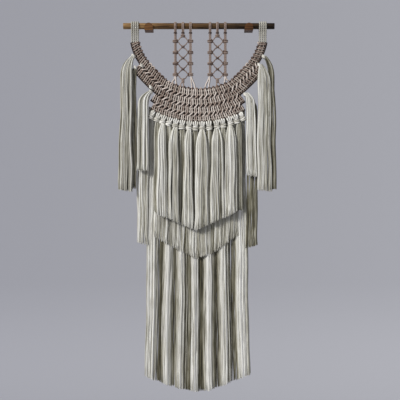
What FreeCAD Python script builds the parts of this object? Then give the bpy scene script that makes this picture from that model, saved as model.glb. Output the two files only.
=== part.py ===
import FreeCAD, Part
import math
import os
import Sketcher

# Macrame wall hanging on a wooden dowel: mm, +Z up, +Y into the wall.
# The origin is on the wall, midway between the two studs that hold the pegs.

V = FreeCAD.Vector
doc = FreeCAD.newDocument("wall_hanging")
sheet = doc.addObject("Spreadsheet::Sheet", "Sizes")
sizes = {}
nodes = {}


def size(alias, value):
    """Keep one named value in the sheet."""
    row = len(sizes) + 1
    sheet.set(f"A{row}", alias)
    sheet.set(f"B{row}", f"{value:.6g}")
    sheet.setAlias(f"B{row}", alias)
    sizes[alias] = value
    return value


rodRadius = size("rodRadius", 12.5)
rodLength = size("rodLength", 618)
rodOut = size("rodOut", 36)             # wall to rod axis
rodHeight = size("rodHeight", 8)        # studs to rod axis
rodChamfer = size("rodChamfer", 0.8)
pegSpacing = size("pegSpacing", 408)
pegWidth = size("pegWidth", 34)
pegSide = size("pegSide", 12.5)            # straight side below the arch
pegBottom = size("pegBottom", 12)       # studs to the peg's flat underside
pegDepth = size("pegDepth", 60)
notchRadius = size("notchRadius", 12.75)
notchRise = size("notchRise", 30)
studRadius = size("studRadius", 3)      # machine end, in the wall
threadRadius = size("threadRadius", 3.5)    # wood end, in the peg
studInPeg = size("studInPeg", 18)
studOut = size("studOut", 29)
studPoint = size("studPoint", 6)
loopGap = size("loopGap", 0.3)          # rope to rod
strapRopeRadius = size("strapRopeRadius", 3.75)
strapPitch = size("strapPitch", 8.2)
strapRopes = size("strapRopes", 4)
latticeCordRadius = size("latticeCordRadius", 2.5)
latticePitch = size("latticePitch", 5.3)
latticeCords = size("latticeCords", 2)
bandThickness = size("bandThickness", 16)
creamThickness = size("creamThickness", 14)
bandGap = size("bandGap", 0.2)          # half the space left between two rows
crescentDrop = size("crescentDrop", 256)    # rod axis to the lowest point of the upper edge
knotWidth = size("knotWidth", 20)
knotHeight = size("knotHeight", 14)
middleKnotWidth = size("middleKnotWidth", 16)
middleKnotHeight = size("middleKnotHeight", 10)
knotDepth = size("knotDepth", 16)
knotPitch = size("knotPitch", 45.5)
linkRadius = size("linkRadius", 2.4)

rodY = -rodOut


# ---- helpers ----

def newBody(label, x=0, y=0, z=0):
    body = doc.addObject("PartDesign::Body", label)
    body.Label = label
    body.Placement = FreeCAD.Placement(V(x, y, z), FreeCAD.Rotation())
    nodes[label] = body
    return body


def newSketch(body, name, role, offset=None):
    sketch = body.newObject("Sketcher::SketchObject", name)
    support = next(f for f in body.Origin.OriginFeatures if f.Role == role)
    sketch.AttachmentSupport = [(support, "")]
    sketch.MapMode = "FlatFace"
    if offset:
        sketch.AttachmentOffset = offset
    return sketch


def bind(sketch, alias, kind, *refs):
    """Add a constraint whose value is a cell of the sheet."""
    index = sketch.addConstraint(Sketcher.Constraint(kind, *refs, sizes[alias]))
    sketch.renameConstraint(index, alias)
    sketch.setExpression(f"Constraints.{alias}", f"Sizes.{alias}")


def closeLoop(sketch, count):
    for i in range(count):
        sketch.addConstraint(Sketcher.Constraint("Coincident", i, 2, (i + 1) % count, 1))


def line(a, b):
    return Part.LineSegment(V(*a, 0), V(*b, 0))


def arc(a, mid, b):
    return Part.Arc(V(*a, 0), V(*mid, 0), V(*b, 0))


def pad(body, sketch, alias, symmetric=True):
    feature = body.newObject("PartDesign::Pad", "Pad")
    feature.Profile = sketch
    feature.SideType = "Symmetric" if symmetric else "One side"
    feature.setExpression("Length", f"Sizes.{alias}")
    return feature


def volumeAfter(body, before):
    doc.recompute()
    if body.Shape.Volume >= before - 1:
        raise RuntimeError(f"{body.Label}: the cut removed nothing")


# ---- wall pegs and their studs ----

def archedPeg(label, x):
    body = newBody(label, x)
    half = pegWidth / 2
    spring = pegSide - pegBottom
    front = newSketch(body, "FrontOutline", "XZ_Plane")
    front.addGeometry([
        line((-half, -pegBottom), (half, -pegBottom)),
        line((half, -pegBottom), (half, spring)),
        arc((half, spring), (0, spring + half), (-half, spring)),
        line((-half, spring), (-half, -pegBottom)),
    ])
    closeLoop(front, 4)
    front.addConstraint(Sketcher.Constraint("Vertical", 1))
    front.addConstraint(Sketcher.Constraint("Vertical", 3))
    front.addConstraint(Sketcher.Constraint("Symmetric", 0, 1, 0, 2, -2))
    front.addConstraint(Sketcher.Constraint("Horizontal", 2, 1, 2, 2))
    front.addConstraint(Sketcher.Constraint("Horizontal", 2, 3, 2, 1))
    bind(front, "pegWidth", "DistanceX", 0, 1, 0, 2)
    bind(front, "pegSide", "DistanceY", 1, 1, 1, 2)
    bind(front, "pegBottom", "DistanceY", 0, 1, -1, 1)
    pad(body, front, "pegDepth", symmetric=False)
    doc.recompute()
    whole = body.Shape.Volume

    notch = newSketch(body, "NotchOutline", "YZ_Plane")
    top = rodHeight + notchRise
    notch.addGeometry([
        arc((rodY - notchRadius, rodHeight), (rodY, rodHeight - notchRadius), (rodY + notchRadius, rodHeight)),
        line((rodY + notchRadius, rodHeight), (rodY + notchRadius, top)),
        line((rodY + notchRadius, top), (rodY - notchRadius, top)),
        line((rodY - notchRadius, top), (rodY - notchRadius, rodHeight)),
    ])
    closeLoop(notch, 4)
    notch.addConstraint(Sketcher.Constraint("Vertical", 1))
    notch.addConstraint(Sketcher.Constraint("Horizontal", 2))
    notch.addConstraint(Sketcher.Constraint("Vertical", 3))
    notch.addConstraint(Sketcher.Constraint("Horizontal", 0, 1, 0, 2))
    notch.addConstraint(Sketcher.Constraint("Horizontal", 0, 3, 0, 2))
    bind(notch, "notchRadius", "Radius", 0)
    bind(notch, "notchRise", "DistanceY", 1, 1, 1, 2)
    bind(notch, "rodHeight", "DistanceY", -1, 1, 0, 3)
    bind(notch, "rodOut", "DistanceX", 0, 3, -1, 1)
    cut = body.newObject("PartDesign::Pocket", "Notch")
    cut.Profile = notch
    cut.Type = "ThroughAll"
    cut.SideType = "Symmetric"
    volumeAfter(body, whole)
    notched = body.Shape.Volume

    bore = newSketch(body, "BoreOutline", "XZ_Plane")
    bore.addGeometry(Part.Circle(V(0, 0, 0), V(0, 0, 1), threadRadius))
    bore.addConstraint(Sketcher.Constraint("Coincident", 0, 3, -1, 1))
    bind(bore, "threadRadius", "Radius", 0)
    hole = body.newObject("PartDesign::Pocket", "StudBore")
    hole.Profile = bore
    hole.Reversed = True
    hole.setExpression("Length", "Sizes.studInPeg")
    volumeAfter(body, notched)


def hangerScrew(label, x):
    body = newBody(label, x)
    outline = newSketch(body, "HalfOutline", "XY_Plane")
    outline.addGeometry([
        line((0, -studInPeg), (threadRadius, -studInPeg)),
        line((threadRadius, -studInPeg), (threadRadius, 0)),
        line((threadRadius, 0), (studRadius, 0)),
        line((studRadius, 0), (studRadius, studOut)),
        line((studRadius, studOut), (0, studOut + studPoint)),
        line((0, studOut + studPoint), (0, -studInPeg)),
    ])
    closeLoop(outline, 6)
    for i in (0, 2):
        outline.addConstraint(Sketcher.Constraint("Horizontal", i))
    for i in (1, 3):
        outline.addConstraint(Sketcher.Constraint("Vertical", i))
    outline.addConstraint(Sketcher.Constraint("PointOnObject", 0, 1, -2))
    outline.addConstraint(Sketcher.Constraint("PointOnObject", 4, 2, -2))
    outline.addConstraint(Sketcher.Constraint("PointOnObject", 1, 2, -1))
    bind(outline, "threadRadius", "DistanceX", 0, 1, 0, 2)
    bind(outline, "studRadius", "DistanceX", -1, 1, 2, 2)
    bind(outline, "studInPeg", "DistanceY", 1, 1, 1, 2)
    bind(outline, "studOut", "DistanceY", 3, 1, 3, 2)
    bind(outline, "studPoint", "DistanceY", 4, 1, 4, 2)
    turn = body.newObject("PartDesign::Revolution", "Turned")
    turn.Profile = outline
    turn.ReferenceAxis = (outline, ["V_Axis"])
    turn.Angle = 360


def dowelRod():
    body = newBody("dowel_rod", 0, rodY, rodHeight)
    end = newSketch(body, "EndOutline", "YZ_Plane")
    end.addGeometry(Part.Circle(V(0, 0, 0), V(0, 0, 1), rodRadius))
    end.addConstraint(Sketcher.Constraint("Coincident", 0, 3, -1, 1))
    bind(end, "rodRadius", "Radius", 0)
    turned = pad(body, end, "rodLength")
    doc.recompute()
    rims = [f"Edge{i + 1}" for i, e in enumerate(turned.Shape.Edges) if e.Closed]
    bevel = body.newObject("PartDesign::Chamfer", "EndBevel")
    bevel.Base = (turned, rims)
    bevel.setExpression("Size", "Sizes.rodChamfer")


# ---- ropes that loop over the rod ----

def loopSpine(loopRadius, legY, bend, end):
    """One rope's centre line across the rod: up, lean out, round the rod, and down again."""
    corner = V(legY, -bend, 0)
    reach = corner.Length
    lean = math.atan2(corner.y, corner.x) + math.acos(loopRadius / reach)
    touch = V(math.cos(lean), math.sin(lean), 0) * loopRadius
    along = (touch - corner).normalize()
    turn = math.acos(along.y)
    radius = 3 * legY + bend / 3
    tangent = radius * math.tan(turn / 2)
    low = corner - V(0, tangent, 0)
    high = corner + along * tangent
    centre = low + V(radius, 0, 0)
    middle = centre - V(math.cos(turn / 2), -math.sin(turn / 2), 0) * radius
    foot = V(legY, -end, 0)

    def mirror(p):
        return V(-p.x, p.y, 0)

    return [
        Part.LineSegment(foot, low),
        Part.Arc(low, middle, high),
        Part.LineSegment(high, touch),
        Part.Arc(touch, V(0, loopRadius, 0), mirror(touch)),
        Part.LineSegment(mirror(touch), mirror(high)),
        Part.Arc(mirror(high), mirror(middle), mirror(low)),
        Part.LineSegment(mirror(low), mirror(foot)),
    ]


def ropeLoops(label, x, end, ropeAlias, pitchAlias, countAlias, legY, bend):
    radius = sizes[ropeAlias]
    span = sizes[pitchAlias] * (sizes[countAlias] - 1)
    body = newBody(label, x - span / 2, rodY, rodHeight)
    spine = newSketch(body, "Route", "YZ_Plane")
    spine.addGeometry(loopSpine(rodRadius + loopGap + radius, legY, bend, end))
    foot = FreeCAD.Placement(V(0, legY, -end), FreeCAD.Rotation())
    section = newSketch(body, "Section", "XY_Plane", foot)
    section.addGeometry(Part.Circle(V(0, 0, 0), V(0, 0, 1), radius))
    section.addConstraint(Sketcher.Constraint("Coincident", 0, 3, -1, 1))
    bind(section, ropeAlias, "Radius", 0)
    rope = body.newObject("PartDesign::AdditivePipe", "Rope")
    rope.Profile = section
    rope.Spine = (spine, [])
    doc.recompute()
    row = body.newObject("PartDesign::LinearPattern", "SideBySide")
    row.Originals = [rope]
    row.Direction = (spine, ["N_Axis"])
    row.setExpression("Length", f"Sizes.{pitchAlias} * (Sizes.{countAlias} - 1)")
    row.setExpression("Occurrences", f"Sizes.{countAlias}")
    body.Tip = row


# ---- crescent of knotted rows ----
# The upper edge is a chain of arcs, given as radius and the slope where each ends.
# A row at a depth below it keeps the centres, with every radius larger by the depth.

edgeArcs = [(270, 24), (120, 42), (640, 50), (190, 80)]


def edgeChain(depth, endSlope):
    """Arcs of the right half of the edge at this depth: centre, radius and both slopes."""
    chain = []
    centre = V(0, edgeArcs[0][0] - crescentDrop, 0)
    start = 0
    for i, (radius, stop) in enumerate(edgeArcs):
        chain.append((centre, radius + depth, start, min(stop, endSlope)))
        if stop >= endSlope:
            return chain
        outward = V(math.sin(math.radians(stop)), -math.cos(math.radians(stop)), 0)
        centre = centre + outward * (radius - edgeArcs[i + 1][0])
        start = stop
    return chain


def onArc(centre, radius, slope):
    turn = math.radians(slope)
    return centre + V(math.sin(turn), -math.cos(turn), 0) * radius


def edgeDrop(x, depth):
    """How far below the rod the edge at this depth runs, at x along the rod."""
    low, high = 0, edgeArcs[-1][1]
    for _ in range(40):
        slope = (low + high) / 2
        centre, radius, _, stop = edgeChain(depth, slope)[-1]
        if onArc(centre, radius, stop).x < abs(x):
            low = slope
        else:
            high = slope
    return -onArc(centre, radius, stop).y


def edgeCurve(depth, endSlope):
    """The whole edge from left end to right end as arcs."""
    right = [Part.Arc(*(onArc(c, r, s) for s in (a, (a + b) / 2, b))) for c, r, a, b in edgeChain(depth, endSlope)]
    left = [Part.Arc(*(V(-onArc(c, r, s).x, onArc(c, r, s).y, 0) for s in (b, (a + b) / 2, a)))
            for c, r, a, b in edgeChain(depth, endSlope)]
    return left[::-1] + right


def knottedRow(label, upper, lower, endSlope, alias):
    body = newBody(label, 0, rodY, rodHeight)
    outline = newSketch(body, "RowOutline", "XZ_Plane")
    top = edgeCurve(upper + bandGap, endSlope)
    bottom = edgeCurve(lower - bandGap, endSlope)
    outline.addGeometry(top + bottom + [
        Part.LineSegment(top[0].StartPoint, bottom[0].StartPoint),
        Part.LineSegment(top[-1].EndPoint, bottom[-1].EndPoint),
    ])
    pad(body, outline, alias)


# ---- lattice panels ----

def knotBlock(name, x, drop, widthAlias, heightAlias):
    block = doc.addObject("Part::Box", name)
    block.setExpression("Length", f"Sizes.{widthAlias}")
    block.setExpression("Width", "Sizes.knotDepth")
    block.setExpression("Height", f"Sizes.{heightAlias}")
    corner = V(x - sizes[widthAlias] / 2, rodY - knotDepth / 2, rodHeight - drop - sizes[heightAlias] / 2)
    block.Placement = FreeCAD.Placement(corner, FreeCAD.Rotation())
    return block


def linkCord(name, fromPoint, toPoint):
    run = toPoint - fromPoint
    cord = doc.addObject("Part::Cylinder", name)
    cord.setExpression("Radius", "Sizes.linkRadius")
    cord.Height = run.Length
    cord.Placement = FreeCAD.Placement(fromPoint, FreeCAD.Rotation(V(0, 0, 1), run))
    return cord


def latticeKnots(label, columns):
    """Square knots on three columns, joined by slanting cords into diamonds."""
    parts = []
    middle = columns[1]
    middleDrops = [firstKnot + knotPitch * i for i in range(5)]
    outerDrops = [firstSideKnot + knotPitch * i for i in range(4)]
    for drop in middleDrops:
        parts.append(knotBlock("MiddleKnot", middle, drop, "middleKnotWidth", "middleKnotHeight"))
    for x in (columns[0], columns[2]):
        for i, drop in enumerate(outerDrops):
            parts.append(knotBlock("SideKnot", x, drop, "knotWidth", "knotHeight"))
            for middleDrop in middleDrops[i:i + 2]:
                parts.append(linkCord("Link", V(x, rodY, rodHeight - drop), V(middle, rodY, rodHeight - middleDrop)))
    joined = doc.addObject("Part::MultiFuse", label)
    joined.Shapes = parts
    joined.Label = label
    nodes[label] = joined


# ---- tassels and fringes: each bundle is a neck that widens into a skirt ----

def taper(name, drop, length, top, bottom):
    """A flat-sided bundle between two level sections, each left, right, front and back."""
    wedge = doc.addObject("Part::Wedge", name)
    cells = {
        "Xmin": top[0], "Xmax": top[1], "Zmin": top[2], "Zmax": top[3], "Ymin": 0,
        "X2min": bottom[0], "X2max": bottom[1], "Z2min": bottom[2], "Z2max": bottom[3], "Ymax": length,
    }
    for cell, value in cells.items():
        size(f"{name}_{cell}_", value)
        wedge.setExpression(cell, f"Sizes.{name}_{cell}_")
    upright = FreeCAD.Rotation(V(1, 0, 0), -90)
    wedge.Placement = FreeCAD.Placement(V(0, rodY, rodHeight - drop), upright)
    return wedge


def bundle(label, neck, neckDrop, shoulder, shoulderDrop, hem, hemDrop):
    """neck, shoulder and hem are sections (left, right, front, back), front and back from the rod's plane."""
    name = "".join(word.capitalize() for word in label.split("_"))
    head = taper(name + "Neck", neckDrop, shoulderDrop - neckDrop, neck, shoulder)
    skirt = taper(name + "Skirt", shoulderDrop, hemDrop - shoulderDrop, shoulder, hem)
    whole = doc.addObject("Part::Fuse", label)
    whole.Base = head
    whole.Tool = skirt
    whole.Label = label
    nodes[label] = whole


archedPeg("left_peg", -pegSpacing / 2)
archedPeg("right_peg", pegSpacing / 2)
hangerScrew("left_hanger_screw", -pegSpacing / 2)
hangerScrew("right_hanger_screw", pegSpacing / 2)
dowelRod()

strap = ("strapRopeRadius", "strapPitch", "strapRopes", 4.1, 45)
strapEnd = size("strapEnd", 66)
firstKnot = size("firstKnot", 40)       # rod axis to the first middle knot
firstSideKnot = size("firstSideKnot", 62)
ropeLoops("left_strap_ropes", -261, strapEnd, *strap)
ropeLoops("right_strap_ropes", 261, strapEnd, *strap)

lattice = ("latticeCordRadius", "latticePitch", "latticeCords", 2.8, 34)
sunk = size("sunkInBand", 3)
columns = {"left": (-96, -65, -34), "right": (108, 76, 46)}
for side, places in columns.items():
    for part, x in zip(("outer", "middle", "inner"), places):
        # the middle cords end in their first knot, where they turn into the slanting ones
        end = firstKnot + sunk if part == "middle" else edgeDrop(x, 0) + sunk
        ropeLoops(f"{side}_lattice_{part}_cords", x, end, *lattice)
    latticeKnots(f"{side}_lattice_knots", places)

rowEdges = [0, 34, 71, 106, 136]
rowEnds = [80, 55, 35.5, 31]
for i, endSlope in enumerate(rowEnds):
    knottedRow(f"knotted_band_{i + 1}", rowEdges[i], rowEdges[i + 1], endSlope, "bandThickness")
knottedRow("upper_cream_knots", 136, 153, 28.5, "creamThickness")
knottedRow("lower_cream_wraps", 153, 174, 27, "creamThickness")

# layers, from the front to the wall, as distances from the rod's plane
frontNeck = (-20, -12)
frontSkirt = (-31, -12.5)
sideSkirt = (-24, -10)
betweenSkirt = (-11.5, -4)
middleSkirt = (-3.5, 7.5)
rearSkirt = (8.5, 22)
headGap = size("headGap", 8)            # room for the fringes to swing clear of the lowest row
rowBottom = 174

# outer and inner tassels: neck left and right, its drop, then shoulder, hem and their drops
sideTassels = {
    "left_upper_outer_tassel": (-280, -263, 124, -316, -273, 200, -328, -272, 674),
    "left_lower_outer_tassel": (-266, -252, 165, -270, -253.5, 250, -270, -253.5, 670),
    "right_lower_outer_tassel": (248, 266, 163, 242, 292, 250, 240, 297, 672),
    "right_upper_outer_tassel": (262, 278, 128, 294, 306, 220, 299, 318, 670),
    "left_inner_tassel": (-210, -194, 272, -247, -207, 335, -252, -207, 591),
    "right_inner_tassel": (188, 204, 278, 196.5, 228, 335, 196.5, 238, 613),
}
for label, (n0, n1, neckDrop, s0, s1, shoulderDrop, h0, h1, hemDrop) in sideTassels.items():
    bundle(label, (n0, n1, *sideSkirt), neckDrop, (s0, s1, *sideSkirt), shoulderDrop,
           (h0, h1, *sideSkirt), hemDrop)

for side, left, right, hemDrop in (("left", -251, -209, 892), ("right", 196.5, 238, 905)):
    bundle(f"{side}_side_fringe", (left + 8, right - 4, *middleSkirt), 276, (left, right, *middleSkirt), 330,
           (left, right, *middleSkirt), hemDrop)

# six wide tassels in front: neck centre, hem left, hem right, hem drop
frontTassels = [
    (-147, -175, -129, 774), (-95.5, -124, -82, 797), (-40, -65, -24.5, 821),
    (13.7, -13.5, 40, 828), (73.4, 47.5, 101.5, 800), (128.2, 106, 155.5, 768),
]
neckHalf = size("neckHalf", 11)
for i, (x, left, right, hemDrop) in enumerate(frontTassels):
    headDrop = edgeDrop(x, rowBottom) - 3
    bundle(f"front_tassel_{i + 1}", (x - neckHalf, x + neckHalf, *frontNeck), headDrop,
           (left + 3, right - 3, *frontSkirt), headDrop + 60, (left, right, *frontSkirt), hemDrop)

# seven narrow ones between and behind them: centre and hem drop
betweenTassels = [(-169, 762), (-121.7, 782), (-68.9, 803), (-13.7, 826), (41.9, 806), (98, 778), (164, 745)]
for i, (x, hemDrop) in enumerate(betweenTassels):
    headDrop = edgeDrop(x, rowBottom) + headGap
    section = (x - neckHalf, x + neckHalf, *betweenSkirt)
    wide = (x - 14, x + 14, *betweenSkirt)
    bundle(f"back_tassel_{i + 1}", section, headDrop, wide, headDrop + 50, wide, hemDrop)

# middle fringe: six bundles whose hems make a V
middleEdges = [-175, -120, -65, -11, 44, 99, 155]
middleHems = [880, 912, 938, 948, 918, 880]
for i, hemDrop in enumerate(middleHems):
    left, right = middleEdges[i] + 0.4, middleEdges[i + 1] - 0.4
    headDrop = max(edgeDrop(left, rowBottom), edgeDrop(right, rowBottom)) + headGap
    bundle(f"middle_fringe_{i + 1}", (left, right, *middleSkirt), headDrop, (left, right, *middleSkirt),
           headDrop + 60, (left, right, *middleSkirt), hemDrop)

# long fringe next to the wall: seven bundles that spread a little towards the hem
rearTop = [-192, -143, -92, -41, 9, 63, 121, 180]
rearHem = [-220, -164, -106, -48, 12, 74, 141, 208]
rearHems = [1445, 1465, 1482, 1494, 1490, 1465, 1438]
rearHead = size("rearHead", 395)
for i, hemDrop in enumerate(rearHems):
    share = 60 / (hemDrop - rearHead)
    top = (rearTop[i] + 0.4, rearTop[i + 1] - 0.4, *rearSkirt)
    hem = (rearHem[i] + 0.4, rearHem[i + 1] - 0.4, *rearSkirt)
    shoulder = tuple(a + (b - a) * share for a, b in zip(top, hem))
    bundle(f"long_fringe_{i + 1}", top, rearHead, shoulder, rearHead + 60, hem, hemDrop)

doc.recompute()
for item in doc.Objects:
    if "Invalid" in item.State or "Error" in item.State:
        raise RuntimeError(f"{item.Label}: {item.State}")
for label, item in nodes.items():
    if item.Shape.isNull() or not item.Shape.isValid() or item.Shape.Volume <= 0:
        raise RuntimeError(f"{label}: no valid shape")

os.makedirs("parts", exist_ok=True)
for label, item in nodes.items():
    item.Shape.exportStep(f"parts/{label}.step")
print(len(nodes), "nodes written")
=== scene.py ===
import math
import random

import bmesh
import bpy
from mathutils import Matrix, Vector


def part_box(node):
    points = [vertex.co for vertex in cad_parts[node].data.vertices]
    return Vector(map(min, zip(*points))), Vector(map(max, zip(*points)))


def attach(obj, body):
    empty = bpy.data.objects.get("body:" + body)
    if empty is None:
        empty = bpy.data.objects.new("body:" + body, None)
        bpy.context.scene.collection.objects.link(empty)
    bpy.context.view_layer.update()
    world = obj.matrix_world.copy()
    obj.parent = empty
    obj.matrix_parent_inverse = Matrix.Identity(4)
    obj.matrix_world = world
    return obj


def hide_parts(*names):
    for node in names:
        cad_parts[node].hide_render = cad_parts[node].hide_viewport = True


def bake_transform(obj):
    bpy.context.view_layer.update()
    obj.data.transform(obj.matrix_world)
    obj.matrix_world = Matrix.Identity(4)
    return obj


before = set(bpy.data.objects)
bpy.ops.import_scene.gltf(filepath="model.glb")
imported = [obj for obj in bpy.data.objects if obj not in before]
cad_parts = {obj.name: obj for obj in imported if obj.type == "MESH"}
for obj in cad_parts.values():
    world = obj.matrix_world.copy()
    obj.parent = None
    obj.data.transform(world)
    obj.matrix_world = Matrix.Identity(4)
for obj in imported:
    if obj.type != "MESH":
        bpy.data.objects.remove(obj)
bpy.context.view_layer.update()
mm = 0.001
rodLow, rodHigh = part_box("dowel_rod")
rodY = (rodLow.y + rodHigh.y) / 2
rodZ = (rodLow.z + rodHigh.z) / 2
rodRadius = (rodHigh.z - rodLow.z) / 2 / mm
draw = random.Random(41)
print("frame loaded,", len(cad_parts), "nodes")


def at(x, depth, drop):  # mm: x along the rod, depth behind its axis, drop below its axis
    return Vector((x * mm, rodY + depth * mm, rodZ - drop * mm))


# camera, before anything that is made

cameraView = {"distance": 3.4, "width": 1.636, "x": 0.0047, "z": -0.703, "sensor": 36}
cameraData = bpy.data.cameras.new("viewCamera")
cameraData.sensor_width = cameraView["sensor"]
cameraData.lens = cameraView["sensor"] * cameraView["distance"] / cameraView["width"]
camera = bpy.data.objects.new("viewCamera", cameraData)
bpy.context.scene.collection.objects.link(camera)
camera.location = (cameraView["x"], rodY - cameraView["distance"], cameraView["z"])
camera.rotation_euler = (math.radians(90), 0, 0)
bpy.context.scene.camera = camera


# materials

def linear(hexColour):  # sRGB hex to the linear colour that a shader takes
    channels = [int(hexColour[i:i + 2], 16) / 255 for i in (1, 3, 5)]
    return [c / 12.92 if c <= 0.04045 else ((c + 0.055) / 1.055) ** 2.4 for c in channels] + [1]


def addNode(tree, kind, settings=None, inputs=None):
    node = tree.nodes.new(kind)
    for key, value in (settings or {}).items():
        setattr(node, key, value)
    for key, value in (inputs or {}).items():
        if isinstance(value, bpy.types.NodeSocket):
            tree.links.new(value, node.inputs[key])
        else:
            node.inputs[key].default_value = value
    return node


def newMaterial(name):
    material = bpy.data.materials.new(name)
    material.use_nodes = True
    material.node_tree.nodes.clear()
    return material, material.node_tree


def endMaterial(tree, colour, bump, finish):  # finish holds the shader's own even values
    inputs = {"Base Color": colour, **finish}
    if bump:
        inputs["Normal"] = bump.outputs["Normal"]
    shader = addNode(tree, "ShaderNodeBsdfPrincipled", {}, inputs)
    addNode(tree, "ShaderNodeOutputMaterial", {}, {"Surface": shader.outputs[0]})


def setRamp(node, stops):
    elements = node.color_ramp.elements
    while len(elements) < len(stops):
        elements.new(0.5)
    for element, (place, hexColour) in zip(elements, stops):
        element.position = place
        element.color = linear(hexColour)


def tonedColour(tree, stops, blotchAndSheen, blotchAndSheenScale):
    # a strand's own tone, shifted by slow blotches, picks its colour from the ramp; on the yarn the blotches
    # are painted sheen patches, on cord and rope a random tint
    own = addNode(tree, "ShaderNodeAttribute", {"attribute_name": "tone"})
    place = addNode(tree, "ShaderNodeTexCoord")
    stretch = addNode(tree, "ShaderNodeMapping", {},
                      {"Vector": place.outputs["Object"], "Scale": blotchAndSheenScale})
    cloud = addNode(tree, "ShaderNodeTexNoise", {}, {"Vector": stretch.outputs[0], "Scale": 1, "Detail": 3})
    shift = addNode(tree, "ShaderNodeMath", {"operation": "MULTIPLY_ADD"},
                    {0: cloud.outputs["Fac"], 1: blotchAndSheen, 2: -blotchAndSheen / 2})
    total = addNode(tree, "ShaderNodeMath", {"operation": "ADD", "use_clamp": True},
                    {0: own.outputs["Fac"], 1: shift.outputs[0]})
    ramp = addNode(tree, "ShaderNodeValToRGB", {}, {"Fac": total.outputs[0]})
    setRamp(ramp, stops)
    return ramp.outputs["Color"]


def twistBump(tree, pitch, lean, strength, height):
    # fibres that wind round a cord, from its own UV map in millimetres along and around
    own = addNode(tree, "ShaderNodeUVMap", {"uv_map": "UVMap"})
    turned = addNode(tree, "ShaderNodeMapping", {},
                     {"Vector": own.outputs[0], "Rotation": (0, 0, math.radians(lean)),
                      "Scale": (1 / pitch,) * 3})
    fibres = addNode(tree, "ShaderNodeTexWave", {"wave_type": "BANDS", "bands_direction": "X"},
                     {"Vector": turned.outputs[0], "Scale": 0.3142, "Distortion": 1.2, "Detail": 2})
    return addNode(tree, "ShaderNodeBump", {},
                   {"Height": fibres.outputs["Fac"], "Strength": strength, "Distance": height * mm})


yarnLook = {"fibre": 1.1, "roughness": 0.46}
# viscose tassel yarn, loosely spun: a soft silky shine along the strands from the shader; the ramp's dark
# olive end is painted shade for strands that lie back in folds and behind others, and its slow blotches are
# painted sheen patches
silkyYarn, tree = newMaterial("silky viscose yarn, loosely spun")
yarnColour = tonedColour(tree, [(0, "#2E2A1C"), (0.3, "#6D6851"), (0.62, "#BBB8AA"), (1, "#F2F1EC")],
                         0.55, (70, 70, 14))
endMaterial(tree, yarnColour, twistBump(tree, yarnLook["fibre"], 24, 0.35, 0.25),
            {"Roughness": yarnLook["roughness"], "Specular IOR Level": 0.45, "Sheen Weight": 0.18,
             "Sheen Roughness": 0.4})

# cotton macrame cord, braided: dull, with a fine slanting braid; the ramp's pale end on the wraps is partly
# the cord's own cream and partly painted highlight, and its near-black end is painted shade
brownCord, tree = newMaterial("cotton macrame cord, braided")
cordColour = tonedColour(tree, [(0, "#1F150F"), (0.35, "#66524A"), (0.68, "#AF9C90"), (1, "#F0E5DC")],
                         0.35, (220, 220, 220))
endMaterial(tree, cordColour, twistBump(tree, 1.6, 38, 0.5, 0.35),
            {"Roughness": 0.78, "Specular IOR Level": 0.25, "Sheen Weight": 0.15})

# cotton rope, three-strand twisted: matt and pale, with soft ply lines
creamRope, tree = newMaterial("cotton rope, three-strand twisted")
ropeColour = tonedColour(tree, [(0, "#2E2B22"), (0.4, "#A19E92"), (0.75, "#DAD7CD"), (1, "#F6F4EE")],
                         0.22, (160, 160, 160))
endMaterial(tree, ropeColour, twistBump(tree, 1.4, 30, 0.45, 0.3),
            {"Roughness": 0.72, "Specular IOR Level": 0.3, "Sheen Weight": 0.2})


def walnutLook(name, stops):
    material, tree = newMaterial(name)
    place = addNode(tree, "ShaderNodeTexCoord")
    split = addNode(tree, "ShaderNodeSeparateXYZ", {}, {0: place.outputs["Object"]})
    across = addNode(tree, "ShaderNodeMapRange", {},
                     {"Value": split.outputs["X"], "From Min": -0.31, "From Max": 0.31})
    # colour across x from the left end to the right: painted light and shade from the key on the left
    leftLitRamp = addNode(tree, "ShaderNodeValToRGB", {}, {"Fac": across.outputs[0]})
    setRamp(leftLitRamp, stops)
    streaks = addNode(tree, "ShaderNodeMapping", {},
                      {"Vector": place.outputs["Object"], "Scale": (14, 160, 160)})
    figure = addNode(tree, "ShaderNodeTexNoise", {},
                     {"Vector": streaks.outputs[0], "Scale": 1, "Detail": 5, "Distortion": 0.6})
    band = addNode(tree, "ShaderNodeValToRGB", {}, {"Fac": figure.outputs["Fac"]})
    setRamp(band, [(0.32, "#5B4636"), (0.5, "#B7A692"), (0.68, "#FFF2DF")])
    wood = addNode(tree, "ShaderNodeMix", {"data_type": "RGBA", "blend_type": "MULTIPLY"},
                   {0: 0.9, 6: leftLitRamp.outputs["Color"], 7: band.outputs["Color"]})
    pores = addNode(tree, "ShaderNodeMapping", {},
                    {"Vector": place.outputs["Object"], "Scale": (60, 1400, 1400)})
    grain = addNode(tree, "ShaderNodeTexNoise", {}, {"Vector": pores.outputs[0], "Scale": 1, "Detail": 2})
    bump = addNode(tree, "ShaderNodeBump", {},
                   {"Height": grain.outputs["Fac"], "Strength": 0.3, "Distance": 0.2 * mm})
    endMaterial(tree, wood.outputs[2], bump, {"Roughness": 0.5, "Specular IOR Level": 0.22})
    return material


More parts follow.
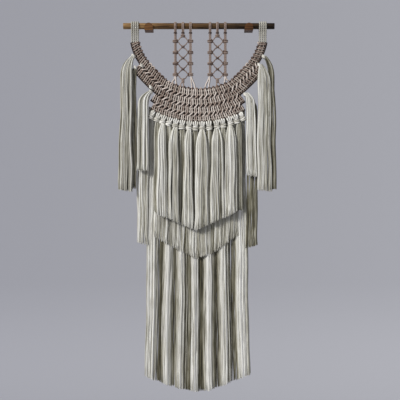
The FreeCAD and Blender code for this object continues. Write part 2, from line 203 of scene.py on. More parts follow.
def steelLook():
    # zinc-plated steel, thread rolled: bluish grey, dull shine with fine turning rings
    material, tree = newMaterial("zinc-plated steel, rolled")
    place = addNode(tree, "ShaderNodeTexCoord")
    squeezed = addNode(tree, "ShaderNodeMapping", {},
                       {"Vector": place.outputs["Object"], "Scale": (60, 900, 60)})
    rings = addNode(tree, "ShaderNodeTexNoise", {}, {"Vector": squeezed.outputs[0], "Scale": 1, "Detail": 2})
    plate = addNode(tree, "ShaderNodeValToRGB", {}, {"Fac": rings.outputs["Fac"]})
    setRamp(plate, [(0.3, "#9A9C9E"), (0.7, "#C9CBCC")])
    bump = addNode(tree, "ShaderNodeBump", {},
                   {"Height": rings.outputs["Fac"], "Strength": 0.3, "Distance": 0.1 * mm})
    endMaterial(tree, plate.outputs["Color"], bump, {"Metallic": 1.0, "Roughness": 0.38})
    return material


def dress(node, material):
    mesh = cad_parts[node].data
    mesh.materials.clear()
    mesh.materials.append(material)


# oiled walnut, turned: dark heartwood streaks along the rod; its honey left end darkening to near-black at
# the right is painted light and shade from the key on the left
walnut = walnutLook("walnut, turned and oiled",
                    [(0, "#C6A87C"), (0.3, "#93764F"), (0.6, "#645138"), (1, "#241B10")])
# the same walnut, sawn into the arched pegs and sanded: warmer and nearly even, the right peg a little darker
# as painted shade
sawnWalnut = walnutLook("walnut, sawn and sanded", [(0, "#86623C"), (0.5, "#795634"), (1, "#6B4A2C")])
zincSteel = steelLook()
dress("dowel_rod", walnut)
for node in ("left_peg", "right_peg"):
    dress(node, sawnWalnut)
for node in ("left_hanger_screw", "right_hanger_screw"):
    dress(node, zincSteel)
print("materials made")


# strands: every cord, rope and yarn is a line of points with a tone

def strand(points, tone=0.6, thick=1.0, closed=False, tip=1.0):
    return {"points": points, "tone": tone, "thick": thick, "closed": closed, "tip": tip}


def pieceOf(name, strands, radius, sides, material, nodes=()):
    curve = bpy.data.curves.new(name, "CURVE")
    curve.dimensions = "3D"
    curve.bevel_depth = radius * mm
    curve.bevel_resolution = (sides - 4) // 2
    for item in strands:
        count = len(item["points"])
        spline = curve.splines.new("POLY")
        spline.points.add(count - 1)
        spline.points.foreach_set("co", [c for p in item["points"] for c in (p.x, p.y, p.z, 1)])
        widths = [item["thick"]] * count
        widths[-1] *= item["tip"]
        spline.points.foreach_set("radius", widths)
        spline.use_cyclic_u = item["closed"]
    holder = bpy.data.objects.new(name, curve)
    mesh = bpy.data.meshes.new_from_object(holder)
    bpy.data.objects.remove(holder)
    bpy.data.curves.remove(curve)
    tones, spans = [], []
    for item in strands:
        ends = item["points"] + item["points"][:1] if item["closed"] else item["points"]
        length = sum((b - a).length for a, b in zip(ends, ends[1:])) / mm
        tones.extend([item["tone"]] * (sides * len(item["points"])))
        spans.extend([length] * (sides * len(item["points"])))
    mesh.attributes.new("tone", "FLOAT", "POINT").data.foreach_set("value", tones)
    around = 2 * math.pi * radius
    for loop, corner in zip(mesh.loops, mesh.uv_layers[0].data):
        u, v = corner.uv
        corner.uv = (u * spans[loop.vertex_index], v * around)
    mesh.uv_layers[0].name = "UVMap"
    shape = bmesh.new()
    shape.from_mesh(mesh)
    for face in shape.faces:
        face.smooth = True
    ends = bmesh.ops.holes_fill(shape, edges=[e for e in shape.edges if e.is_boundary], sides=sides)
    for face in ends["faces"]:  # flat ends with sharp rims, so the sides keep their shading
        face.smooth = False
        for edge in face.edges:
            edge.smooth = False
    bmesh.ops.recalc_face_normals(shape, faces=shape.faces)
    shape.to_mesh(mesh)
    shape.free()
    mesh.materials.clear()
    mesh.materials.append(material)
    piece = bpy.data.objects.new(name, mesh)
    bpy.context.scene.collection.objects.link(piece)
    if nodes:
        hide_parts(*nodes)
    return piece


def lineAt(points, x):  # height of a line of (x, value) points
    if x <= points[0][0]:
        return points[0][1]
    for (x0, v0), (x1, v1) in zip(points, points[1:]):
        if x <= x1:
            return v0 + (v1 - v0) * (x - x0) / (x1 - x0)
    return points[-1][1]


def smoothPath(points, steps):  # a soft line through a few points
    path = []
    for i in range(len(points) - 1):
        before = points[max(i - 1, 0)]
        start, stop = points[i], points[i + 1]
        after = points[min(i + 2, len(points) - 1)]
        for s in range(steps):
            t = s / steps
            path.append(0.5 * ((2 * start) + (stop - before) * t
                               + (2 * before - 5 * start + 4 * stop - after) * t ** 2
                               + (3 * start - before - 3 * stop + after) * t ** 3))
    return path + [points[-1]]


def resample(path, step):  # even spacing, so that a twist runs evenly
    out, left = [path[0]], step * mm
    for a, b in zip(path, path[1:]):
        run = (b - a).length
        done = 0
        while run - done >= left:
            done += left
            out.append(a + (b - a) * (done / run))
            left = step * mm
        left -= run - done
    return out + [path[-1]]


def twisted(path, radius, lay, flat, tone):  # three plies wound round a line that stays square to flat
    plies = []
    for ply in range(3):
        points, run = [], 0
        for i, p in enumerate(path):
            along = (path[min(i + 1, len(path) - 1)] - path[max(i - 1, 0)]).normalized()
            across = along.cross(flat).normalized()
            if i:
                run += (p - path[i - 1]).length / mm
            turn = 2 * math.pi * (ply / 3 + run / lay)
            points.append(p + (flat * math.cos(turn) + across * math.sin(turn)) * (radius * 0.5 * mm))
        plies.append(strand(points, tone + draw.uniform(-0.06, 0.06)))
    return plies


# crescent: arcs of the upper edge as radius and the slope where each ends

crescent = {"lowest": 256, "arcs": [(270, 24), (120, 42), (640, 50), (190, 80)]}


def edgePlace(slope, depth):  # x, drop and the outward direction at this slope and depth
    side = -1 if slope < 0 else 1
    centreX, centreDrop = 0, crescent["lowest"] - crescent["arcs"][0][0]
    for i, (radius, stop) in enumerate(crescent["arcs"]):
        if abs(slope) <= stop or i == len(crescent["arcs"]) - 1:
            break
        following = crescent["arcs"][i + 1][0]
        centreX += math.sin(math.radians(stop)) * (radius - following)
        centreDrop += math.cos(math.radians(stop)) * (radius - following)
    out = (math.sin(math.radians(abs(slope))), math.cos(math.radians(slope)))
    return (side * (centreX + out[0] * (radius + depth)), centreDrop + out[1] * (radius + depth),
            side * out[0], out[1])


def onBand(slope, depth, back):
    x, drop, _, _ = edgePlace(slope, depth)
    return at(x, back, drop)


def slopeAfter(length, depth):  # slope reached after this length from the lowest point
    left, start = abs(length), 0
    for radius, stop in crescent["arcs"]:
        run = math.radians(stop - start) * (radius + depth)
        if left <= run:
            break
        left -= run
        start = stop
    slope = min(start + math.degrees(left / (radius + depth)), stop)
    return math.copysign(slope, length)


def lengthTo(slope, depth):
    total, start = 0, 0
    for radius, stop in crescent["arcs"]:
        total += math.radians(min(stop, slope) - start) * (radius + depth)
        if slope <= stop:
            break
        start = stop
    return total


def slopeAt(x, depth):  # slope where the edge at this depth passes x
    low, high = -80, 80
    for _ in range(30):
        middle = (low + high) / 2
        if edgePlace(middle, depth)[0] < x:
            low = middle
        else:
            high = middle
    return low


rows = {
    "edges": [0, 34, 71, 106, 136],
    "ends": [80, 55, 35.5, 31],
    "moreLeft": [0, 0, 9, 9],   # the lower rows run on a little at the left
    "endGap": 3,
    "unit": 17.8,           # two wraps and one link stitch
    "cord": 2.5,
    "halfDeep": 5.6,
    "pair": 0.43,           # the second wrap of a pair, as a share of the unit
    "wrapTone": 0.97, "steepTone": 0.26,
    "stitchReach": 6.6, "stitchRise": 7.6,
    "picotWide": 190,       # half width in degrees of slope times mm of radius
    "ropeInset": 2.6, "ropeSteps": 90,
}


def wrapLoop(slope, upper, lower, lean, half, power=0.62):
    # one turn of cord round the ropes of a row, slanting by lean from its top to its bottom
    middle, reach = (upper + lower) / 2, (lower - upper) / 2
    points = []
    for i in range(14):
        turn = 2 * math.pi * i / 14
        c, s = math.cos(turn), math.sin(turn)
        out = math.copysign(abs(c) ** power, c)
        back = math.copysign(abs(s) ** power, s)
        x, drop, ox, od = edgePlace(slope, middle + out * reach)
        slide = lean * out * (1 if back < 0 else -0.4)
        points.append(at(x + od * slide, back * half, drop - ox * slide))
    return points


def knottedRow(number):
    upper, lower, end = rows["edges"][number], rows["edges"][number + 1], rows["ends"][number]
    middle = (upper + lower) / 2
    right = lengthTo(end, middle) - rows["endGap"]
    left = -right - rows["moreLeft"][number]
    units = round((right - left) / rows["unit"])
    pitch = (right - left) / units
    cords = []
    for unit in range(units):
        centre = left + (unit + 0.5) * pitch
        for k in (0.27, 0.27 + rows["pair"]):
            slope = slopeAfter(left + (unit + k) * pitch + draw.uniform(-0.6, 0.6), middle)
            steep = min(abs(slope) / 50, 1)
            lean = draw.uniform(-1.0, 1.0) + steep * 3.4 + (1 - steep) * 0.6
            top = upper + rows["cord"] + draw.uniform(-0.4, 1.2)
            low = lower - rows["cord"] - draw.uniform(-0.4, 1.2)
            half = rows["halfDeep"] + draw.uniform(0, 0.9)
            tone = rows["wrapTone"] - rows["steepTone"] * steep + draw.uniform(-0.24, 0.06)
            wrap = wrapLoop(slope, top, low, lean, half)
            cords.append(strand(wrap, tone, draw.uniform(0.84, 0.98), closed=True))
        if number < 3 and abs(slopeAfter(centre, middle)) < rows["ends"][number + 1]:
            reach = rows["stitchReach"] + draw.uniform(-1.2, 1.2)
            low, high = slopeAfter(centre - reach, middle), slopeAfter(centre + reach, middle)
            rise, turn = rows["stitchRise"], (high - low) * 0.22
            stitch = [onBand(low, lower + rise, -5.2), onBand(low + turn, lower + 5, -9.4),
                      onBand((low + high) / 2, lower, -10.6), onBand(high - turn, lower - 5, -9.4),
                      onBand(high, lower - rise, -5.2)]
            tone = 0.95 + draw.uniform(-0.3, 0.05)
            cords.append(strand(smoothPath(stitch, 3), tone, draw.uniform(0.85, 1.1)))
        if number == 0:
            along = slopeAfter(centre, middle)
            wide = rows["picotWide"] / (crescent["arcs"][0][0] + middle)
            picot = [onBand(along - wide, 4, -3.5), onBand(along - wide * 0.7, -0.6, -5),
                     onBand(along, -2.2, -5.6), onBand(along + wide * 0.7, -0.6, -5),
                     onBand(along + wide, 4, -3.5)]
            cords.append(strand(smoothPath(picot, 3), 0.5 + draw.uniform(-0.35, 0.35), 1.05))
    inset, steps = rows["ropeInset"], rows["ropeSteps"]
    slopes = [slopeAfter(left + (right - left) * i / steps, middle) for i in range(steps + 1)]
    runs = [(upper + inset + (lower - upper - 2 * inset) * k / 5, 0, 0.06, 1.5) for k in range(6)]
    # the run at the lower edge fills the gap between this row and the next, near-black as painted shade
    if number < 3:
        runs += [(lower, -1.5, 0.04, 1.35)]
    for depth, back, tone, thick in runs:  # the ropes that the cord is wrapped round, near-black as painted shade in the gaps between wraps
        cords.append(strand([onBand(slope, depth, back) for slope in slopes], tone, thick))
    work = pieceOf(f"knottedRow{number + 1}", cords, rows["cord"], 6, brownCord,
                   [f"knotted_band_{number + 1}"])
    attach(work, "knotted_work")
    flecks = []
    for share in (0.3, 0.7):  # paler ropes that show between the wraps
        depth = upper + (lower - upper) * share
        path = [onBand(slope, depth, -3.6) for slope in slopes]
        flecks += twisted(resample(path, 3.4), 1.9, 12, Vector((0, 1, 0)), 0.62)
    pale = pieceOf(f"rowRopes{number + 1}", flecks, 1.0, 4, creamRope)
    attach(pale, "knotted_work")


for number in range(4):
    knottedRow(number)
print("crescent rows wrapped")


# cream knots under the crescent, one above every front and back tassel and some at the ends

creamKnots = {
    "places": [-193, -169, -147, -121.7, -95.5, -68.9, -40, -13.7,
               13.7, 41.9, 73.4, 98, 128.2, 152, 178],
    "crownTop": 136, "crownFoot": 153,
    "spread": 1.02,         # degrees of slope between two lobes
    "wraps": [155.2, 162, 168.8], "half": [8.8, 10.2, 9.2], "turn": 1.04,
    "rope": 3.4, "deep": 8.2,
}


def creamKnot(x):
    slope = slopeAt(x, 155)
    parts = []
    for k in (-1, 0, 1):  # the crown's three lobes, in front and behind
        side = k * creamKnots["spread"]
        top, foot = slope + side * 1.15, slope + side * 0.8
        high = creamKnots["crownTop"] + (1.5 if k else -1.5) + draw.uniform(-1, 1)
        crownFoot = creamKnots["crownFoot"]
        lobe = [onBand(top * 0.5 + foot * 0.5, high + 5, -1), onBand(top, high, -6.5),
                onBand(top, high + 7, -11), onBand(foot, crownFoot - 2, -9), onBand(foot, crownFoot + 4, -2)]
        parts.append(strand(smoothPath(lobe, 3), 0.96 + draw.uniform(-0.22, 0.04), 0.95))
        behind = [onBand(top, high + 2, 1), onBand(top, high + 6, 8), onBand(foot, crownFoot, 5)]
        parts.append(strand(smoothPath(behind, 3), 0.7, 1.0))
    for i, depth in enumerate(creamKnots["wraps"]):
        x0, drop, ox, od = edgePlace(slope, depth)
        half = creamKnots["half"][i] + draw.uniform(-0.5, 0.5)
        tilt = draw.uniform(-2, 2)
        points = []
        for s in range(16):
            turn = 2 * math.pi * s / 16
            across = half * math.cos(turn)
            lift = tilt * math.cos(turn) + 0.5 * math.sin(3 * turn)
            points.append(at(x0 + od * across + ox * lift, creamKnots["deep"] * math.sin(turn),
                             drop - ox * across + od * lift))
        parts.append(strand(points, 0.8 + draw.uniform(-0.3, 0.18), creamKnots["turn"], closed=True))
    # a thick near-black strand down the knot's middle: painted shade inside the knot, seen between the wraps
    shadeCore = [onBand(slope, depth, 0) for depth in (150, 160, 172)]
    parts.append(strand(shadeCore, 0.02, 2.0))
    return parts


knotStrands = [part for x in creamKnots["places"] for part in creamKnot(x)]
creamWork = pieceOf("creamKnots", knotStrands, creamKnots["rope"], 6, creamRope,
                    ["upper_cream_knots", "lower_cream_wraps"])
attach(creamWork, "knotted_work")
print("cream knots tied")


# straps and lattice columns: ropes that loop over the rod

def overRod(x, leg, bend, end, rope):
    # front leg, up, round the rod and down behind, with a soft bend at the corner
    ring = rodRadius + 0.3 + rope
    corner = Vector((leg, -bend))
    lean = math.atan2(corner.y, corner.x) + math.acos(ring / corner.length)
    touch = Vector((math.cos(lean), math.sin(lean))) * ring
    side = []
    for drop in (end, (end + bend + 10) / 2, bend + 10):
        if drop > bend + 5:
            side.append(Vector((leg, -drop)))
    low, high = side[-1], corner + (touch - corner) * 0.45
    for s in range(1, 6):
        t = s / 6
        side.append(low * (1 - t) ** 2 + corner * (2 * t * (1 - t)) + high * t ** 2)
    side += [high, touch]
    arc = [Vector((math.cos(a), math.sin(a))) * ring
           for a in (lean + (math.pi / 2 - lean) * s / 6 for s in range(1, 7))]
    half = side + arc
    whole = [Vector((-p.x, p.y)) for p in half] + half[-2::-1]
    return [at(x, p.x, -p.y) for p in whole]


straps = {
    "left": -261, "right": 261, "rope": 3.75, "ply": 0.47, "pitch": 8.2,
    "leg": 4.1, "bend": 45, "end": 66, "lay": 27,
}
for side in ("left", "right"):
    plies = []
    for k in range(4):
        x = straps[side] + (k - 1.5) * straps["pitch"]
        path = resample(overRod(x, straps["leg"], straps["bend"], straps["end"], straps["rope"]), 2.6)
        plies += twisted(path, straps["rope"], straps["lay"], Vector((1, 0, 0)), 0.56)
    strapPiece = pieceOf(f"{side}Strap", plies, straps["rope"] * straps["ply"], 6, creamRope,
                         [f"{side}_strap_ropes"])
    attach(strapPiece, "knotted_work")

lattice = {
    "left": (-96, -65, -34), "right": (108, 76, 46),
    "leftFeet": ((-110, -93), (-80, -61), (-29, -15)),
    "rightFeet": ((121, 104), (90, 69), (40, 25)),
    "cord": 2.5, "pitch": 5.3, "leg": 2.8, "bend": 34,
    "firstMiddle": 40, "firstSide": 62, "step": 45.5,
    "neck": 28,             # where the loop is drawn together under the rod
}


def knotRing(x, drop, half, deep, tilt=0.0):
    points = []
    for s in range(12):
        turn = 2 * math.pi * s / 12
        c, d = math.cos(turn), math.sin(turn)
        wide = math.copysign(abs(c) ** 0.7, c) * half
        points.append(at(x + wide, math.copysign(abs(d) ** 0.7, d) * deep, drop + tilt * c))
    return points


def latticePanel(side):
    places, feet = lattice[side], lattice[f"{side}Feet"]
    middle = places[1]
    nodes = [f"{side}_lattice_{part}_cords" for part in ("outer", "middle", "inner")]
    nodes.append(f"{side}_lattice_knots")
    sideDrops = [lattice["firstSide"] + lattice["step"] * i for i in range(4)]
    middleDrops = [lattice["firstMiddle"] + lattice["step"] * i for i in range(5)]
    cords = []
    for column, x in enumerate(places):
        end = middleDrops[0] + 3 if column == 1 else sideDrops[-1] + 6
        for k in (-0.5, 0.5):
            loop = overRod(x + k * lattice["pitch"], lattice["leg"], lattice["bend"], end, lattice["cord"])
            cords.append(strand(loop, 0.56 + draw.uniform(-0.08, 0.08)))
        cords.append(strand(knotRing(x, lattice["neck"], 5.6, 9.5), 0.16, 0.9, closed=True))
        if column != 1:
            for foot in feet[column]:
                sink = edgePlace(slopeAt(foot, 0), 0)[1] + 5
                start = sideDrops[-1] + 4
                route = [at(x + (-2 if foot < x else 2), -2.5, start),
                         at(x + (foot - x) * 0.35, -2.5, start + 16),
                         at(x + (foot - x) * 0.85, -3, (start + 2 * sink) / 3), at(foot, -3, sink)]
                cords.append(strand(smoothPath(route, 5), 0.92 + draw.uniform(-0.06, 0.06)))
                cords.append(strand([p + Vector((0.0015, 5.5 * mm, 0)) for p in smoothPath(route, 5)], 0.5))
    for x in (places[0], places[2]):
        away = 1 if x > middle else -1
        for i, drop in enumerate(sideDrops):
            for k in (-3.1, 3.1):
                ring = knotRing(x + away * 1.2, drop + k, 8.2, 6.2, draw.uniform(-0.8, 0.8))
                cords.append(strand(ring, 0.5 + draw.uniform(-0.1, 0.1), 1.08, closed=True))
            inner = x - away * 8
            knob = [at(inner + away * 3, -2, drop - 7), at(inner - away * 1, -4, drop - 2),
                    at(inner - away * 1, -4, drop + 2), at(inner + away * 3, -2, drop + 7)]
            cords.append(strand(smoothPath(knob, 4), 0.22, 1.25))
            for target, up in ((middleDrops[i], -1), (middleDrops[i + 1], 1)):
                mid = (drop + target) / 2
                route = [at(x - away * 5, -2, drop + up * 1.5), at(x - away * 13, -2.5, drop + up * 5),
                         at(x * 0.36 + middle * 0.64, -2.5, mid + up * 2.5),
                         at(middle + away * 4.5, -3, target - up * 5), at(middle - away * 1, -3.5, target)]
                cords.append(strand(smoothPath(route, 4), 0.5 + draw.uniform(-0.1, 0.1), 0.96))
    for i, drop in enumerate(middleDrops):
        if i == 0:
            for k in (-2.6, 2.6):
                ring = knotRing(middle, drop + k, 7.4, 6.4, draw.uniform(-1, 1))
                cords.append(strand(ring, 0.5, 1.05, closed=True))
        elif i < 4:
            for lean in (-1, 1):
                ring = knotRing(middle, drop, 5.2, 6.6, lean * 3.4)
                cords.append(strand(ring, 0.4 + draw.uniform(-0.1, 0.1), 1.0, closed=True))
        else:
            for k in range(4):
                ring = knotRing(middle, drop - 6 + 4.6 * k, 4.6, 5.6, draw.uniform(-1, 1))
                cords.append(strand(ring, 0.58, 0.95, closed=True))
            for foot in feet[1]:
                sink = edgePlace(slopeAt(foot, 0), 0)[1] + 5
                route = [at(middle + (foot - middle) * 0.1, -2.5, drop + 6),
                         at(middle + (foot - middle) * 0.5, -3, (drop + sink) / 2), at(foot, -3, sink)]
                cords.append(strand(smoothPath(route, 5), 0.62))
    panel = pieceOf(f"{side}Lattice", cords, lattice["cord"], 6, brownCord, nodes)
    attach(panel, "knotted_work")


latticePanel("left")
latticePanel("right")
print("straps and lattice hung")


# tassels: strands gathered in locks, from a tied neck through a shoulder to a cut hem

def sectionAt(sections, drop, dome=2.2):  # left, right, front and back of a bundle at this drop
    for i, (upper, lower) in enumerate(zip(sections, sections[1:])):
        if drop <= lower[0] or i == len(sections) - 2:
            share = min(max((drop - upper[0]) / (lower[0] - upper[0]), 0), 1)
            ease = 1 - (1 - share) ** dome if i == 0 else share
            return [a + (b - a) * ease for a, b in zip(upper[1:], lower[1:])]


def tasselStrands(sections, hem, count, locks, wave=1.3, steps=20, paintedLight=0.0, curl=0.0, dome=2.2,
                  shadeScale=1.0):
    groups = [((k + 0.5 + draw.uniform(-0.25, 0.25)) / locks, draw.random(), draw.uniform(0, 6.28))
              for k in range(locks)]
    strands, top = [], sections[0][0]
    for i in range(count):
        place, shade, phase = groups[i % locks]
        offset = draw.uniform(-1, 1)
        across = min(max(place + offset * 0.62 / locks, 0), 1)
        layer = draw.random() ** 1.4
        recess = min(0.28 * offset ** 2 + 0.3 * shade + 0.5 * layer + 0.4 * (2 * across - 1) ** 4, 1)
        left, right, front, back = sections[-1][1:]
        hemX = left + (right - left) * across
        stop = lineAt(hem, hemX) + draw.uniform(-4, 4) - 3 * layer
        own = draw.uniform(0, 6.28)
        swing = draw.uniform(-1, 1)
        points = []
        for s in range(steps):
            share = (s / (steps - 1)) ** 1.35
            drop = top + (stop - top) * share
            left, right, front, back = sectionAt(sections, drop, dome)
            grown = min((drop - top) / 140, 1)
            x = left + (right - left) * across
            x += wave * grown * (math.sin(drop / 60 + phase) + 0.8 * math.sin(drop / (27 + 2 * own) + own))
            y = front + (back - front) * recess + 0.8 * grown * math.sin(drop / 47 + phase * 2)
            if curl and share > 0.9:
                x += swing * curl * (share - 0.9) * 10
                y -= abs(swing) * curl * 0.5 * (share - 0.9) * 10
            points.append(at(x, y, drop))
        # the tone drops for strands in back locks, in deeper layers and at lock edges as painted shade, the
        # per-tassel shift is painted light and shade, and the gauss term is random spread
        tone = 0.92 + paintedLight - shadeScale * (0.2 * offset ** 2 + 0.24 * shade + 0.32 * layer) + draw.gauss(0, 0.14)
        strands.append(strand(points, max(min(tone, 1), 0.05), draw.uniform(0.85, 1.15), tip=0.6))
    return strands


yarnRadius = 1.45
hems = {
    "front": [(-178, 762), (-12, 833), (160, 756)],
    "middle": [(-180, 860), (-106, 903), (-12, 950), (58, 926), (156, 857)],
    "long": [(-222, 1430), (-135, 1466), (-77, 1482), (-14, 1494),
             (43, 1489), (107, 1466), (174, 1438), (217, 1422)],
}

outerTassels = {
    # node: sections as drop, left, right, front, back, then hem, strands, locks and a tone shift that is
    # painted light and shade
    "left_upper_outer_tassel": (
        [(122, -273, -263, -17, -6), (206, -317, -273, -27, -12), (674, -328, -272, -27, -12)],
        [(-328, 667), (-272, 676)], 150, 7, -0.04),
    "left_lower_outer_tassel": (
        [(168, -262, -255, -12, -5), (250, -292, -256, -12, -4), (670, -296, -254, -13, -4)],
        [(-296, 670), (-254, 662)], 84, 3, -0.4),
    "right_lower_outer_tassel": (
        [(158, 248, 258, -17, -6), (240, 241, 291, -26, -11), (672, 238, 297, -27, -11)],
        [(238, 668), (297, 676)], 150, 7, 0.03),
    "right_upper_outer_tassel": (
        [(124, 264, 274, -15, -5), (215, 286, 308, -14, -4), (670, 292, 318, -14, -4)],
        [(292, 668), (318, 664)], 60, 3, -0.42),
}
for node, (sections, hem, count, locks, paintedLight) in outerTassels.items():
    words = node.split("_")
    name = words[0] + "".join(w.capitalize() for w in words[1:])
    yarns = tasselStrands(sections, hem, count, locks, 1.8, 22, paintedLight, 0, 2.6, 1.1)
    tassel = pieceOf(name, yarns, yarnRadius, 4, silkyYarn, [node])
    x = (sections[0][1] + sections[0][2]) / 2
    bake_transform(tassel)

sideFringes = {
    # node: sections, hem, strands, locks and a tone shift that is painted light and shade
    "left_side_fringe": (
        [(276, -206, -196, -3, 5), (352, -251, -209, -3.5, 7.5), (892, -251, -208, -3.5, 7.5)],
        [(-251, 884), (-208, 894)], 84, 8, 0.1),
    "right_side_fringe": (
        [(282, 189, 199, -3, 5), (356, 197, 238, -3.5, 7.5), (905, 197, 240, -3.5, 7.5)],
        [(197, 906), (240, 894)], 84, 8, -0.32),
}
for node, (sections, hem, count, locks, paintedLight) in sideFringes.items():
    name = node.split("_")[0] + "SideFringe"
    yarns = tasselStrands(sections, hem, count, locks, 2.0, 22, paintedLight, 3, 3)
    fringe = pieceOf(name, yarns, yarnRadius, 4, silkyYarn, [node])
    x = (sections[0][1] + sections[0][2]) / 2
    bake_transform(fringe)

innerTassels = {
    "left_inner_tassel": (
        [(268, -206, -192, -18, -4), (330, -247, -207, -24, -9), (591, -254, -206, -26, -8)],
        [(-254, 588), (-206, 592)]),
    "right_inner_tassel": (
        [(274, 186, 200, -18, -4), (330, 193, 228, -24, -9), (613, 193, 238, -26, -8)],
        [(193, 608), (238, 616)]),
}
for node, (sections, hem) in innerTassels.items():
    side = node.split("_")[0]
    yarns = tasselStrands(sections, hem, 120, 6, 1.2, 20, 0.06, 4, 3.2, 1.3)
    tassel = pieceOf(f"{side}InnerTassel", yarns, yarnRadius, 4, silkyYarn, [node])
    x = (sections[0][1] + sections[0][2]) / 2
    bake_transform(tassel)
attachments = {
    # where a tassel is tied on: x, drop, half width of the knot and its tone
    "spots": [(-267, 124, 6.5, 0.85), (-259, 171, 6, 0.8), (-196, 252, 5.5, 0.85),
              (-196, 270, 5.5, 0.8), (-233, 163, 5, 0.7), (265, 127, 6.5, 0.8),
              (247, 161, 6.5, 0.85), (189, 282, 5.5, 0.8)],
    "rope": 2.3,
}


def tieKnot(x, drop, half, tone):
    parts = []
    for k in (-1, 0, 1):
        points = []
        for s in range(12):
            turn = 2 * math.pi * s / 12
            wide = half * math.cos(turn)
            points.append(at(x + wide, -6 + 9 * math.sin(turn), drop + k * 4 + 3.5 * math.cos(turn)))
        parts.append(strand(points, tone + draw.uniform(-0.12, 0.12), draw.uniform(0.9, 1.1), closed=True))
    return parts


ties = [part for spot in attachments["spots"] for part in tieKnot(*spot)]
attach(pieceOf("tasselTies", ties, attachments["rope"], 6, creamRope), "knotted_work")
print("side tassels hung")

frontTassels = [
    # where it hangs, left edge and right edge
    (-147, -175, -129), (-95.5, -124, -82), (-40, -65, -24.5),
    (13.7, -13.5, 40), (73.4, 47.5, 101.5), (128.2, 106, 155.5),
]
for i, (x, left, right) in enumerate(frontTassels):
    headDrop = edgePlace(slopeAt(x, 172), 172)[1]
    sections = [(headDrop - 4, x - 8, x + 8, -11, -1), (headDrop + 75, left + 3, right - 3, -30, -13),
                (833, left - 3, right + 3, -31, -13)]
    yarns = tasselStrands(sections, hems["front"], 125, 6, 1.5, 20, 0.03, 2.5)
    tassel = pieceOf(f"frontTassel{i + 1}", yarns, yarnRadius, 4, silkyYarn,
                     [f"front_tassel_{i + 1}"])
    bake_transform(tassel)

backTassels = [-169, -121.7, -68.9, -13.7, 41.9, 98, 164]
for i, x in enumerate(backTassels):
    headDrop = edgePlace(slopeAt(x, 172), 172)[1]
    sections = [(headDrop - 2, x - 8, x + 8, -7, 2), (headDrop + 60, x - 14, x + 14, -11.5, -4),
                (800, x - 16, x + 16, -12, -4)]
    hem = [(px, drop - 5) for px, drop in hems["front"]]
    # the tone shift of -0.22 darkens these tassels behind the front ones as painted shade
    yarns = tasselStrands(sections, hem, 62, 4, 1.3, 18, -0.22)
    tassel = pieceOf(f"backTassel{i + 1}", yarns, yarnRadius, 4, silkyYarn,
                     [f"back_tassel_{i + 1}"])
    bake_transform(tassel)
print("front and back tassels hung")

middleEdges = [-175, -120, -65, -11, 44, 99, 155]
for i in range(6):
    left, right = middleEdges[i], middleEdges[i + 1]
    headDrop = max(edgePlace(slopeAt(x, 174), 174)[1] for x in (left, right)) + 4
    sections = [(headDrop, left, right, -2, 6), (headDrop + 60, left, right, -3.5, 7.5),
                (950, left - 3, right + 3, -3.5, 7.5)]
    yarns = tasselStrands(sections, hems["middle"], 84, 6, 1.7, 20, 0.0, 5)
    fringe = pieceOf(f"middleFringe{i + 1}", yarns, yarnRadius, 4, silkyYarn,
                     [f"middle_fringe_{i + 1}"])
    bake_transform(fringe)

longFringe = {
    "top": [-202, -143, -92, -41, 9, 63, 121, 187],
    "hem": [-221, -164, -106, -48, 12, 74, 141, 210], "sides": (-221, 210),
    "headDepth": 128, "strands": 96, "steps": 26, "front": 2.5, "back": 22, "behindRows": 9.5,
    "yarn": 1.55,
}


def longBundle(i):
    strands = []
    phase = draw.uniform(0, 6.28)
    for _ in range(longFringe["strands"]):
        away = draw.uniform(-1, 1)
        away = math.copysign(abs(away) ** 1.15, away)
        across = 0.5 + away / 2
        ridge = math.cos(math.pi * away / 2) ** 2
        if (i == 0 and away < 0) or (i == 6 and away > 0):  # the outer edges hang forward
            ridge = 1 - 0.3 * abs(away)
        layer = draw.random() ** 1.6
        fold = math.sin(across * 5 * math.pi + phase) ** 2
        recess = min((1 - ridge) * 0.72 + 0.3 * layer + 0.12 * fold, 1)
        own = draw.uniform(0, 6.28)
        hemX = longFringe["hem"][i] + (longFringe["hem"][i + 1] - longFringe["hem"][i]) * across
        topX = longFringe["top"][i] + (longFringe["top"][i + 1] - longFringe["top"][i]) * across
        headDepth = longFringe["headDepth"]
        head = edgePlace(slopeAt(topX, headDepth), headDepth)[1]
        stop = lineAt(hems["long"], hemX) + draw.uniform(-5, 5)
        points = []
        for s in range(longFringe["steps"]):
            share = s / (longFringe["steps"] - 1)
            drop = head + (stop - head) * share
            free = min(max((drop - 470) / 500, 0), 1)
            front = longFringe["behindRows"] + (longFringe["front"] - longFringe["behindRows"]) * free
            x = topX + (hemX - topX) * share
            x += 1.6 * math.sin(drop / 90 + phase) + 0.9 * math.sin(drop / 38 + own)
            y = front + (longFringe["back"] - front) * recess + 0.7 * math.sin(drop / 61 + own)
            points.append(at(x, y, drop))
        # ridge strands are lighter and valley, deep-layer and folded strands darker: painted light and shade
        # of the pleats, with random spread
        tone = 0.27 + 0.75 * ridge ** 0.75 - 0.28 * layer - 0.12 * fold + draw.gauss(0, 0.14)
        # near the outer sides the tone is held up to a floor: painted light on the edge strands
        edge = max(0.42 - 0.02 * abs(hemX - side) for side in longFringe["sides"])
        strands.append(strand(points, max(min(tone, 1), 0.08, edge), draw.uniform(0.9, 1.2), tip=0.6))
    return strands


for i in range(7):
    bundle = pieceOf(f"longFringe{i + 1}", longBundle(i), longFringe["yarn"], 4, silkyYarn,
                     [f"long_fringe_{i + 1}"])
    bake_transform(bundle)
print("fringes hung")


# floor, backdrop and soft light

studio = {"floor": -2.7, "wall": 4.5, "half": 9, "front": -7, "bend": 1.2}


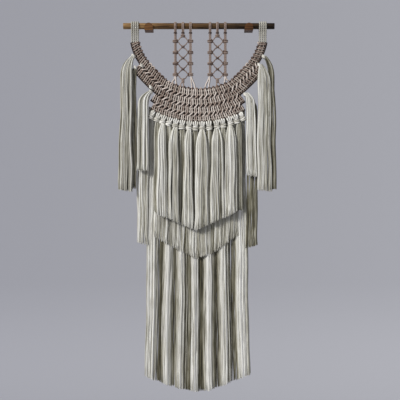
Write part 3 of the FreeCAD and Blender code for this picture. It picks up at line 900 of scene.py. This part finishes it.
def sweep():  # one sheet: floor, a soft bend and the backdrop
    shape = bmesh.new()
    profile = [(studio["front"], studio["floor"]), (studio["wall"] - studio["bend"], studio["floor"])]
    for k in range(1, 9):
        turn = math.radians(90 * k / 8)
        profile.append((studio["wall"] - studio["bend"] + math.sin(turn) * studio["bend"],
                        studio["floor"] + studio["bend"] - math.cos(turn) * studio["bend"]))
    profile.append((studio["wall"], 6))
    left = [shape.verts.new((-studio["half"], y, z)) for y, z in profile]
    edges = [shape.edges.new(pair) for pair in zip(left, left[1:])]
    made = bmesh.ops.extrude_edge_only(shape, edges=edges)
    moved = [v for v in made["geom"] if isinstance(v, bmesh.types.BMVert)]
    bmesh.ops.translate(shape, verts=moved, vec=(2 * studio["half"], 0, 0))
    for face in shape.faces:
        face.smooth = True
    mesh = bpy.data.meshes.new("studioSweep")
    shape.to_mesh(mesh)
    shape.free()
    material, tree = newMaterial("painted studio sweep, matt")
    place = addNode(tree, "ShaderNodeTexCoord")
    split = addNode(tree, "ShaderNodeSeparateXYZ", {}, {0: place.outputs["Object"]})
    shade = addNode(tree, "ShaderNodeMapRange", {},
                    {"Value": split.outputs["X"], "From Min": -2.2, "From Max": 2.4})
    paint = addNode(tree, "ShaderNodeValToRGB", {}, {"Fac": shade.outputs[0]})
    setRamp(paint, [(0, "#A6A7AF"), (0.5, "#AAABB2"), (1, "#B0B1B8")])
    endMaterial(tree, paint.outputs["Color"], None, {"Roughness": 0.9, "Specular IOR Level": 0.1})
    mesh.materials.append(material)
    piece = bpy.data.objects.new("studioSweep", mesh)
    bpy.context.scene.collection.objects.link(piece)


light = {"strength": 2.7, "spread": 14, "tilt": 62, "turn": -46, "air": 0.55}
sweep()
keyData = bpy.data.lights.new("softKey", "SUN")
keyData.energy = light["strength"]
keyData.angle = math.radians(light["spread"])
keyData.color = (1.0, 0.985, 0.96)
key = bpy.data.objects.new("softKey", keyData)
key.rotation_euler = (math.radians(light["tilt"]), 0, math.radians(light["turn"]))
bpy.context.scene.collection.objects.link(key)

world = bpy.data.worlds.new("studioAir")
bpy.context.scene.world = world
world.use_nodes = True
air = world.node_tree.nodes["Background"]
air.inputs["Color"].default_value = linear("#CDCFD3")
air.inputs["Strength"].default_value = light["air"]
bpy.context.scene.view_settings.view_transform = "Standard"
print("studio lit")
